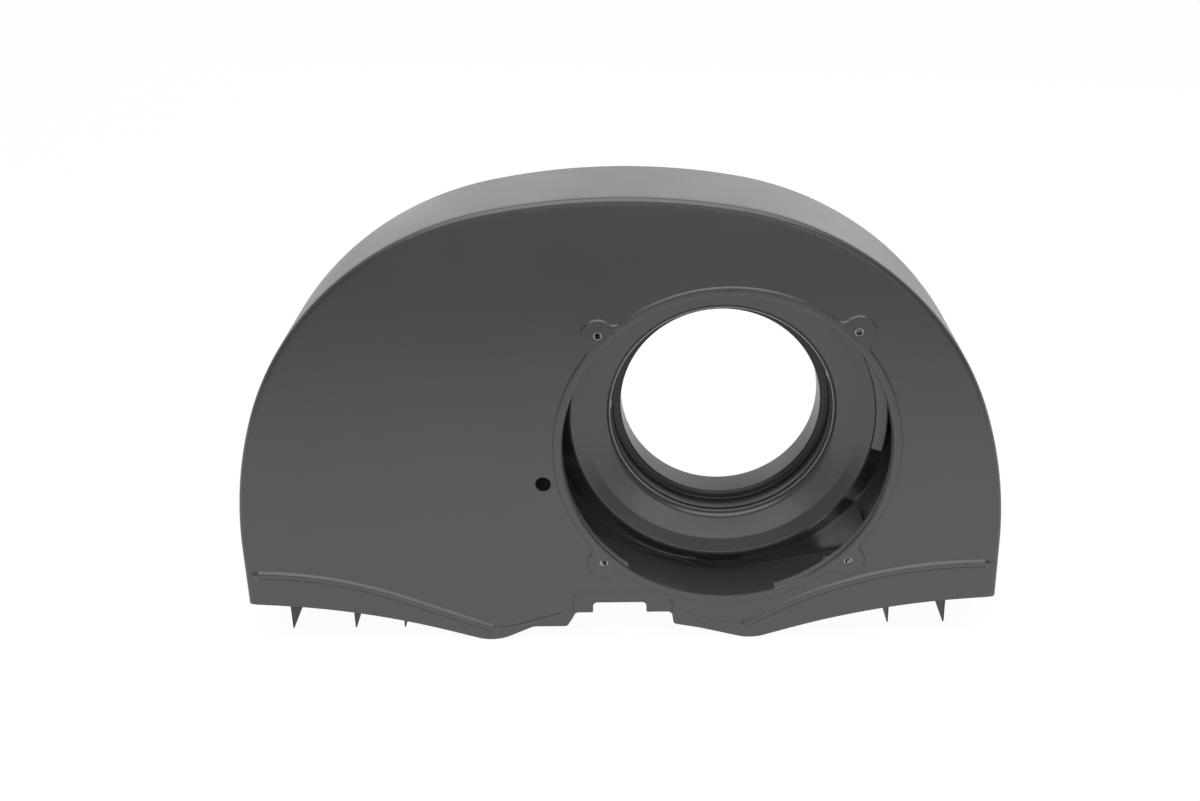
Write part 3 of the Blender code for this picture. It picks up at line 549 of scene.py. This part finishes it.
def relief_points():
    """Extra points where the face bends, so that the relief is smooth."""
    points = beside(seat_outline(), [SEAT_FLANK * share for share in SEAT_ROWS], True)
    points += beside(pocket_outline(), [POCKET_FLANK * share for share in POCKET_ROWS])
    for path, width, _, _, rows, past in raised_strips():
        points += beside(path, [width * k / rows for k in range(-rows - past, rows + past + 1)])
    return points


# Meshes

def place(x, depth, z):
    """Point of the part at a depth behind the front of the face."""
    return Vector((x, FACE_Y + depth, z))


def surface(bm, rows, wrap=False):
    """Grid of quads through rows of points."""
    grid = [[bm.verts.new(point) for point in row] for row in rows]
    for a, b in zip(grid, grid[1:] + (grid[:1] if wrap else [])):
        for k in range(len(a) - 1):
            bm.faces.new((a[k], a[k + 1], b[k + 1], b[k]))


def turned_rows(path, start=0.0, end=360.0, steps=TURN_STEPS):
    """Rows of a (radius, depth) path turned about the fan axis."""
    last = steps if end - start < 360.0 else steps - 1
    rows = []
    for i in range(last + 1):
        angle = math.radians(start + (end - start) * i / steps)
        rows.append([place(FAN_X + r * math.cos(angle), y, FAN_Z + r * math.sin(angle)) for r, y in path])
    return rows


def fold_rows(arch, flat_arch, front, rear):
    """Rows that carry a flat face round its fold and back along the band."""
    steps = max(1, round((rear - front) / BAND_STEP))
    start = front + FOLD_RADIUS
    rows = []
    for (ox, oz), (ix, iz) in zip(arch, flat_arch):
        row = []
        for k in range(FOLD_STEPS + 1):
            turn = math.radians(90.0 * k / FOLD_STEPS)
            share = math.sin(turn)
            depth = front + FOLD_RADIUS * (1 - math.cos(turn))
            row.append(place(ix + (ox - ix) * share, depth, iz + (oz - iz) * share))
        row.extend(place(ox, start + (rear - start) * k / steps, oz) for k in range(1, steps + 1))
        rows.append(row)
    return rows


def circle(x, z, radius, steps):
    """Outline of a round hole, which is given by its centre, its radius and its count of sides."""
    return [(x + radius * math.cos(math.tau * i / steps), z + radius * math.sin(math.tau * i / steps))
            for i in range(steps)]


def fill_points(boundary, holes, extra):
    """Points inside a sheet: the extra ones, and a staggered grid where those leave room."""
    low, high = np.array(boundary).min(0), np.array(boundary).max(0)
    xs = np.arange(low[0], high[0], FACE_GRID)
    zs = np.arange(low[1], high[1], FACE_GRID)
    free = np.array([(x + (FACE_GRID / 2 if j % 2 else 0.0), z) for j, z in enumerate(zs) for x in xs])
    if extra:
        cells = set(map(tuple, np.round(np.array(extra) / (FACE_GRID / 2)).astype(int)))
        keys = np.round(free / (FACE_GRID / 2)).astype(int)
        crowded = [any((a + i, b + j) in cells for i in (-1, 0, 1) for j in (-1, 0, 1)) for a, b in keys]
        free = np.vstack([free[~np.array(crowded)], np.array(extra)])
    keep = inside(free, boundary) & (distance_to(free, boundary, True) > EDGE_CLEARANCE)
    for x, z, radius, _ in holes:
        keep &= np.hypot(*(free - (x, z)).T) > radius + HOLE_CLEARANCE
    return free[keep]


def flat_sheet(bm, boundary, holes, extra, depth, relief=None):
    """Flat sheet in the XZ plane with round holes, triangulated through its fill points."""
    loops = [boundary] + [circle(*hole) for hole in holes]
    line = np.array([p for loop in loops for p in loop])
    points = [Vector(p) for p in np.vstack([line, fill_points(boundary, holes, extra)])]
    edges = []
    start = 0
    for loop in loops:
        edges.extend((start + i, start + (i + 1) % len(loop)) for i in range(len(loop)))
        start += len(loop)
    verts, _, faces, _, _, _ = delaunay_2d_cdt(points, edges, [], TRIANGLES_INSIDE, TRIANGLE_TOLERANCE)
    flat = np.array([v[:] for v in verts])
    rise = relief(flat) if relief else np.zeros(len(flat))
    made = [bm.verts.new(place(x, depth - h, z)) for (x, z), h in zip(flat, rise)]
    for face in faces:
        middle = flat[list(face)].mean(0)
        if all(math.dist(middle, (x, z)) >= radius * HOLE_SHARE for x, z, radius, _ in holes):
            bm.faces.new([made[i] for i in face])


def finish_sheet(name, bm, offset, node, paint):
    """Weld a skin, give it the sheet's thickness and put it in the place of its CAD node."""
    bmesh.ops.remove_doubles(bm, verts=bm.verts, dist=WELD_DISTANCE)
    bmesh.ops.recalc_face_normals(bm, faces=bm.faces)
    skin = bpy.data.meshes.new(name + "_skin")
    bm.to_mesh(skin)
    bm.free()
    shape = bpy.data.objects.new(name + "_skin", skin)
    bpy.context.scene.collection.objects.link(shape)
    solid = shape.modifiers.new("sheet", "SOLIDIFY")
    solid.thickness = SHEET
    solid.offset = offset
    bpy.context.view_layer.update()
    mesh = bpy.data.meshes.new_from_object(shape.evaluated_get(bpy.context.evaluated_depsgraph_get()))
    bpy.data.objects.remove(shape, do_unlink=True)
    dress(name, mesh, node, paint)


def dress(name, mesh, node, paint):
    """Shade and coat a mesh, and let it stand for its CAD node."""
    mesh.name = name
    mesh.shade_smooth()
    mesh.set_sharp_from_angle(angle=math.radians(SHARP_ANGLE))
    mesh.materials.clear()
    mesh.materials.append(paint)
    piece = bpy.data.objects.new(name, mesh)
    bpy.context.scene.collection.objects.link(piece)
    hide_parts(node)
    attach(piece, "root")


# Pieces

def sheet_boundary(inset):
    """Hood arch inside the fold, and the whole outline of a panel's flat part."""
    arch = hood_arch(inset + FOLD_RADIUS)
    limit = half_width() - inset - FOLD_RADIUS - SKIRT_CLEARANCE
    edge = [p for p in divided(lower_edge(), SKIRT_STEP) if abs(p[0]) < limit]
    return arch, arch + edge[::-1]


def make_front_shell(paint):
    """Face with its pressed forms and holes, fold, band and turned-in edge."""
    bm = bmesh.new()
    arch, boundary = sheet_boundary(0.0)
    holes = [
        (FAN_X, FAN_Z, OPENING_RADIUS + OPENING_TURN, TURN_STEPS),
        (CABLE_X, CABLE_Z, CABLE_RADIUS, CABLE_HOLE_STEPS),
    ]
    holes += [(*ear_centre(k), BOLT_HOLE_RADIUS, BOLT_HOLE_STEPS) for k in range(EAR_COUNT)]
    flat_sheet(bm, boundary, holes, relief_points(), 0.0, face_relief)
    surface(bm, fold_rows(hood_arch(0.0), arch, 0.0, BAND_DEPTH))
    path = []
    for k in range(BEND_STEPS + 1):
        turn = math.radians(90.0 * k / BEND_STEPS)
        path.append((OPENING_RADIUS + OPENING_TURN * (1 - math.sin(turn)),
                     -SEAT_RISE + OPENING_TURN * (1 - math.cos(turn))))
    path += [(OPENING_RADIUS, y) for y in FLANGE_ROW_DEPTHS]
    surface(bm, turned_rows(path), wrap=True)
    cut_flange(bm)
    drill_sides(bm)
    finish_sheet("front_pressing", bm, SKIN_IN_FRONT, "front_shell", paint)


def cut_flange(bm):
    """Take the turned-in edge away at the bottom, past the start of its bend."""
    bend = OPENING_TURN * (1 - math.cos(math.radians(FLANGE_CUT_TURN)))
    limit = FACE_Y - SEAT_RISE + bend - FLANGE_CUT_MARGIN
    gone = []
    for face in bm.faces:
        middle = face.calc_center_median()
        x, z = middle.x - FAN_X, middle.z - FAN_Z
        within = math.hypot(x, z) < OPENING_RADIUS + OPENING_TURN and middle.y > limit
        if within and FLANGE_CUT_START < math.degrees(math.atan2(z, x)) < FLANGE_CUT_END:
            gone.append(face)
    bmesh.ops.delete(bm, geom=gone, context="FACES")


def faces_near(bm, centre, radius):
    """Faces whose middle is within a radius of a point."""
    return [face for face in bm.faces if (face.calc_center_median() - centre).length < radius]


def drill_sides(bm):
    """Round screw holes in the band's two ends."""
    for side in (-1, 1):
        centre = Vector((side * half_width(), FACE_Y + BAND_DEPTH / 2, SIDE_HOLE_Z))
        edges = list({edge for face in faces_near(bm, centre, DRILL_REACH) for edge in face.edges})
        bmesh.ops.subdivide_edges(bm, edges=edges, cuts=DRILL_CUTS, use_grid_fill=True)
        rim = [v for v in bm.verts if (v.co - centre).length < SIDE_HOLE_RADIUS * DRILL_RIM_SHARE]
        bmesh.ops.delete(bm, geom=faces_near(bm, centre, SIDE_HOLE_RADIUS), context="FACES")
        for v in rim:
            if v.is_valid and v.is_boundary:
                outward = Vector((0.0, v.co.y - centre.y, v.co.z - centre.z)).normalized()
                v.co = Vector((v.co.x, centre.y, centre.z)) + outward * SIDE_HOLE_RADIUS


def ring_path():
    """Centre line of the drawn inlet ring in radius and depth, from base to throat."""
    middle = SHEET / 2
    throat_radius = COLLAR_SEAT_RADIUS + SHEET + GAP + middle
    cone_depth = (RING_CREASE_RADIUS - throat_radius) * math.tan(math.radians(RING_CONE_SLOPE))
    return rounded_path([
        (RING_BASE_RADIUS + RING_BASE_LAP, WEB_Y + middle, 0),
        (RING_BASE_RADIUS, WEB_Y + middle, RING_BASE_BEND),
        (RING_CREST_RADIUS, RING_CREST_Y + middle - RING_CREST_LIFT, RING_CREST_BEND),
        (RING_CREASE_RADIUS, RING_CREASE_Y + middle, RING_CREASE_BEND),
        (throat_radius, RING_CREASE_Y + cone_depth + middle, RING_THROAT_BEND),
        (throat_radius, RING_END_Y, 0),
    ])


def make_rear_panel(paint):
    """Flat panel inside the band, its flange and the drawn ring."""
    bm = bmesh.new()
    inset = PAN_INSET + SHEET / 2
    arch, boundary = sheet_boundary(inset)
    path = ring_path()
    flat_sheet(bm, boundary, [(FAN_X, FAN_Z, path[0][0], TURN_STEPS)], [], WEB_Y + SHEET / 2)
    surface(bm, fold_rows(hood_arch(inset), arch, WEB_Y + SHEET / 2, BAND_DEPTH))
    surface(bm, turned_rows(path), wrap=True)
    finish_sheet("rear_pressing", bm, SKIN_IN_MIDDLE, "rear_panel", paint)


def make_collar(paint):
    """Stepped ring, wide where it sits in the throat and narrower behind."""
    middle = SHEET / 2
    path = rounded_path([
        (COLLAR_SEAT_RADIUS + middle, COLLAR_FRONT_Y, 0),
        (COLLAR_SEAT_RADIUS + middle, COLLAR_STEP_Y + middle, COLLAR_BEND),
        (COLLAR_RADIUS + middle, COLLAR_STEP_Y + middle, COLLAR_BEND),
        (COLLAR_RADIUS + middle, COLLAR_END_Y, 0),
    ])
    bm = bmesh.new()
    surface(bm, turned_rows(path), wrap=True)
    finish_sheet("collar_ring", bm, SKIN_IN_MIDDLE, "inlet_collar", paint)


def make_lip(paint):
    """Curved angle strip on the right of the ring: a face towards the front and a leg to the ring."""
    inner = RING_CREST_RADIUS + GAP
    outer = inner + LIP_WIDTH
    front = RING_CREST_Y - GAP - SHEET
    fall = (WEB_Y - RING_CREST_Y) / (RING_BASE_RADIUS - RING_CREST_RADIUS)
    seat = RING_CREST_Y + (outer - SHEET - RING_CREST_RADIUS) * fall - LIP_SEAT_GAP
    middle = SHEET / 2
    edge = (outer - middle, front + middle - LIP_TILT, LIP_BEND)
    path = rounded_path([(inner, front + middle, 0), edge, (outer - middle, seat, 0)])
    bm = bmesh.new()
    surface(bm, turned_rows(path, LIP_START, LIP_END, LIP_STEPS))
    finish_sheet("scroll_strip", bm, SKIN_IN_MIDDLE, "scroll_lip", paint)


def depth_row(x, z, front, rear):
    """Row of points from front to rear in a sheet that runs back."""
    return [place(x, front + (rear - front) * k / DEPTH_STEPS, z) for k in range(DEPTH_STEPS + 1)]


def make_floor(paint):
    """Scroll sheet under the fan, with one tab to the rear panel and a narrow strip at its right end."""
    path = rounded_path([
        (FLOOR_LEFT_X, FLOOR_LEFT_Z, 0),
        (FLOOR_RIDGE_X, FLOOR_RIDGE_Z, FLOOR_RIDGE_RADIUS),
        (FLOOR_DIP_X, FLOOR_DIP_Z, FLOOR_DIP_RADIUS),
        (FLOOR_RIGHT_X, FLOOR_RIGHT_Z, 0),
    ])
    rows = []
    for x, z in divided(path, PATH_STEP):
        front = WEB_Y - FLOOR_STRIP_WIDTH if x > FLOOR_RELIEF_X else SHEET + POCKET_DEPTH + GAP
        rear = WEB_Y - (GAP if abs(x - FAN_X) < FLOOR_TAB_HALF_WIDTH else FLOOR_SEAM)
        rows.append(depth_row(x, z, front, rear))
    bm = bmesh.new()
    surface(bm, rows)
    finish_sheet("scroll_trough", bm, SKIN_IN_MIDDLE, "scroll_floor", paint)


def make_vanes(paint):
    """Upright vanes of both outlets, bent towards the middle halfway up."""
    for tag, vanes, lean in (("left", LEFT_VANES, VANE_LEAN), ("right", RIGHT_VANES, -VANE_LEAN)):
        for k, (x, height) in enumerate(vanes):
            bend_z = VANE_BOTTOM_Z + height * VANE_BEND_SHARE
            top_z = VANE_BOTTOM_Z + height
            top_x = x + math.tan(math.radians(lean)) * (top_z - bend_z)
            corners = [(x, VANE_BOTTOM_Z, 0), (x, bend_z, height * VANE_CURVE_SHARE), (top_x, top_z, 0)]
            line = divided(rounded_path(corners), STRAIGHT_STEP)
            bm = bmesh.new()
            surface(bm, [depth_row(px, pz, SHEET + GAP, WEB_Y - GAP) for px, pz in line])
            name = tag + "_vane_" + str(k + 1)
            finish_sheet(name + "_sheet", bm, SKIN_IN_MIDDLE, name, paint)


# Nodes of materials

class Nodes:
    """Node tree of a material or a world, with short calls that add a node and give its output."""

    def __init__(self, owner):
        owner.use_nodes = True
        self.nodes = owner.node_tree.nodes
        self.links = owner.node_tree.links

    def add(self, kind):
        """New node of a kind."""
        return self.nodes.new("ShaderNode" + kind)

    def join(self, source, socket):
        """Link an output to a socket, or give the socket a plain value."""
        if isinstance(source, bpy.types.NodeSocket):
            self.links.new(source, socket)
        else:
            socket.default_value = source

    def noise(self, scale, detail, rough=0.5):
        """Cloudy pattern that stays with the object."""
        node = self.add("TexNoise")
        self.join(scale, node.inputs["Scale"])
        self.join(detail, node.inputs["Detail"])
        self.join(rough, node.inputs["Roughness"])
        self.join(self.add("TexCoord").outputs["Object"], node.inputs["Vector"])
        return node.outputs["Fac"]

    def ramp(self, source, low, high, start, end):
        """Value that goes from start to end as the source goes from low to high."""
        node = self.add("MapRange")
        self.join(source, node.inputs["Value"])
        self.join(low, node.inputs["From Min"])
        self.join(high, node.inputs["From Max"])
        self.join(start, node.inputs["To Min"])
        self.join(end, node.inputs["To Max"])
        return node.outputs["Result"]

    def maths(self, operation, first, second):
        """Result of a maths operation on two outputs or plain values."""
        node = self.add("Math")
        node.operation = operation
        self.join(first, node.inputs[0])
        self.join(second, node.inputs[1])
        return node.outputs["Value"]

    def blend(self, share, first, second):
        """Colour between two colours."""
        node = self.add("Mix")
        node.data_type = "RGBA"
        self.join(share, node.inputs[0])
        self.join(first, node.inputs[6])
        self.join(second, node.inputs[7])
        return node.outputs[2]

    def dust(self):
        """1 on a few small round specks and 0 elsewhere."""
        cells = self.add("TexVoronoi")
        self.join(DUST_SCALE, cells.inputs["Scale"])
        self.join(self.add("TexCoord").outputs["Object"], cells.inputs["Vector"])
        split = self.add("SeparateColor")
        self.join(cells.outputs["Color"], split.inputs["Color"])
        dot = self.ramp(cells.outputs["Distance"], DUST_EDGE, DUST_CORE, 0.0, 1.0)
        return self.maths("MULTIPLY", dot, self.maths("GREATER_THAN", split.outputs["Red"], DUST_RARITY))

    def white_rays(self, glossy=1.0):
        """1 for rays that see the white background: camera, transmitted and a share of glossy ones."""
        rays = self.add("LightPath").outputs
        seen = self.maths("MAXIMUM", rays["Is Camera Ray"], rays["Is Transmission Ray"])
        return self.maths("MAXIMUM", seen, self.maths("MULTIPLY", rays["Is Glossy Ray"], glossy))

    def mixed(self, share, first, second, output):
        """Send a mix of two shaders to the output socket."""
        node = self.add("MixShader")
        self.join(share, node.inputs["Fac"])
        self.join(first, node.inputs[1])
        self.join(second, node.inputs[2])
        self.join(node.outputs["Shader"], output)


def tinted(base, shares):
    """Opaque colour of a base with each channel times its share."""
    return tuple(channel * share for channel, share in zip(base, shares)) + (1.0,)


def satin_coat(name, base, roughness, ior, dust=0.0):
    """Dark satin coating over sheet steel: cloudy gloss, faint orange peel and a few dust specks."""
    paint = bpy.data.materials.new(name)
    tree = Nodes(paint)
    shader = tree.nodes["Principled BSDF"].inputs
    tree.join(0.0, shader["Metallic"])
    tree.join(ior, shader["IOR"])
    tree.join(COAT_SHEEN, shader["Specular Tint"])
    swing = (roughness - COAT_GLOSS_SWING, roughness + COAT_GLOSS_SWING)
    tree.join(tree.ramp(tree.noise(*CLOUD_NOISE), *NOISE_TURN, *swing), shader["Roughness"])
    mottle = tree.noise(*MOTTLE_NOISE, MOTTLE_ROUGHNESS)
    colour = tree.blend(mottle, tinted(base, COAT_DARK_SHARES), tinted(base, COAT_LIGHT_SHARES))
    if dust:
        colour = tree.blend(tree.dust(), colour, (dust, dust, dust, 1.0))
    tree.join(colour, shader["Base Color"])
    bump = tree.add("Bump")
    tree.join(PEEL_STRENGTH, bump.inputs["Strength"])
    tree.join(PEEL_DEPTH, bump.inputs["Distance"])
    tree.join(tree.noise(*PEEL_NOISE), bump.inputs["Height"])
    tree.join(bump.outputs["Normal"], shader["Normal"])
    return paint


def zinc_plate(name):
    """Bright zinc plating of the weld nuts, with a faint blotchy haze."""
    metal = bpy.data.materials.new(name)
    tree = Nodes(metal)
    shader = tree.nodes["Principled BSDF"].inputs
    tree.join(1.0, shader["Metallic"])
    haze = tree.noise(*HAZE_NOISE)
    tree.join(tree.ramp(haze, *NOISE_TURN, *ZINC_ROUGHNESS), shader["Roughness"])
    tree.join(tree.blend(haze, ZINC_DARK, ZINC_LIGHT), shader["Base Color"])
    return metal


# Stage

def make_table():
    """White table that stays white to the camera, keeps the shadow and ends a little way in front."""
    mesh = bpy.data.meshes.new("studio_floor")
    bm = bmesh.new()
    bmesh.ops.create_grid(bm, x_segments=1, y_segments=1, size=TABLE_SIZE / 2)
    bm.to_mesh(mesh)
    bm.free()
    floor = bpy.data.objects.new("studio_floor", mesh)
    bpy.context.scene.collection.objects.link(floor)
    floor.location = (0.0, TABLE_FRONT_Y + TABLE_SIZE / 2, -TABLE_DROP)
    white = bpy.data.materials.new("studio_white")
    tree = Nodes(white)
    shader = tree.nodes["Principled BSDF"]
    tree.join(TABLE_WHITE, shader.inputs["Base Color"])
    tree.join(1.0, shader.inputs["Roughness"])
    tree.join(0.0, shader.inputs["Specular IOR Level"])
    glow = tree.add("Emission")
    tree.join(TABLE_GLOW, glow.inputs["Strength"])
    share = tree.maths("MULTIPLY", tree.white_rays(), TABLE_GLOW_SHARE)
    surface_socket = tree.nodes["Material Output"].inputs["Surface"]
    tree.mixed(share, shader.outputs["BSDF"], glow.outputs["Emission"], surface_socket)
    mesh.materials.append(white)


def make_world():
    """Studio surround, darker in front; behind the part it is white in reflections too."""
    world = bpy.data.worlds.new("studio")
    bpy.context.scene.world = world
    tree = Nodes(world)
    split = tree.add("SeparateXYZ")
    tree.join(tree.add("TexCoord").outputs["Generated"], split.inputs["Vector"])
    depth = split.outputs["Y"]
    light = tree.nodes["Background"]
    tree.join(WHITE, light.inputs["Color"])
    tree.join(tree.ramp(depth, -WORLD_TURN, WORLD_TURN, WORLD_FRONT, WORLD_BACK), light.inputs["Strength"])
    white = tree.add("Background")
    tree.join(WHITE, white.inputs["Color"])
    tree.join(1.0, white.inputs["Strength"])
    share = tree.white_rays(tree.ramp(depth, 0.0, WHITE_TURN, 0.0, 1.0))
    surface_socket = tree.nodes["World Output"].inputs["Surface"]
    tree.mixed(share, light.outputs["Background"], white.outputs["Background"], surface_socket)


def softbox(name, at, target, width, height, power):
    """Soft rectangular lamp that the camera doesn't see."""
    lamp = bpy.data.lights.new(name, "AREA")
    lamp.shape = "RECTANGLE"
    lamp.size = width
    lamp.size_y = height
    lamp.energy = power
    item = bpy.data.objects.new(name, lamp)
    bpy.context.scene.collection.objects.link(item)
    item.location = at
    item.rotation_euler = (Vector(target) - Vector(at)).to_track_quat("-Z", "Y").to_euler()
    item.visible_camera = False


def make_camera():
    """Camera of the photo, from its place, its angles and its focal length."""
    pitch, yaw, roll = (math.radians(v) for v in (CAMERA_PITCH, CAMERA_YAW, CAMERA_ROLL))
    forward = Vector((math.sin(yaw) * math.cos(pitch), math.cos(yaw) * math.cos(pitch), -math.sin(pitch)))
    level = Vector((math.cos(yaw), -math.sin(yaw), 0.0))
    upright = level.cross(forward)
    right = math.cos(roll) * level + math.sin(roll) * upright
    up = -math.sin(roll) * level + math.cos(roll) * upright
    lens = bpy.data.cameras.new("photo_camera")
    lens.sensor_width = SENSOR_WIDTH
    lens.lens = FOCAL_PIXELS / IMAGE_WIDTH * SENSOR_WIDTH
    camera = bpy.data.objects.new("photo_camera", lens)
    bpy.context.scene.collection.objects.link(camera)
    pose = Matrix((right, up, -forward)).transposed().to_4x4()
    pose.translation = Vector(CAMERA_PLACE)
    camera.matrix_world = pose
    bpy.context.scene.camera = camera


def plate_nuts():
    """Zinc on the nuts, which keep their CAD mesh."""
    zinc = zinc_plate("nut_zinc")
    for name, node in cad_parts.items():
        if "nut" in name:
            node.data.materials.clear()
            node.data.materials.append(zinc)


def main():
    bpy.context.scene.view_settings.view_transform = "Standard"
    coats = {name: satin_coat(name + "_coat", **look) for name, look in COATS.items()}
    make_front_shell(coats["shell"])
    make_rear_panel(coats["panel"])
    make_collar(coats["collar"])
    make_lip(coats["guide"])
    make_floor(coats["guide"])
    make_vanes(coats["vane"])
    plate_nuts()
    make_table()
    make_world()
    for name, box in SOFTBOXES.items():
        softbox(name, *box)
    make_camera()


main()
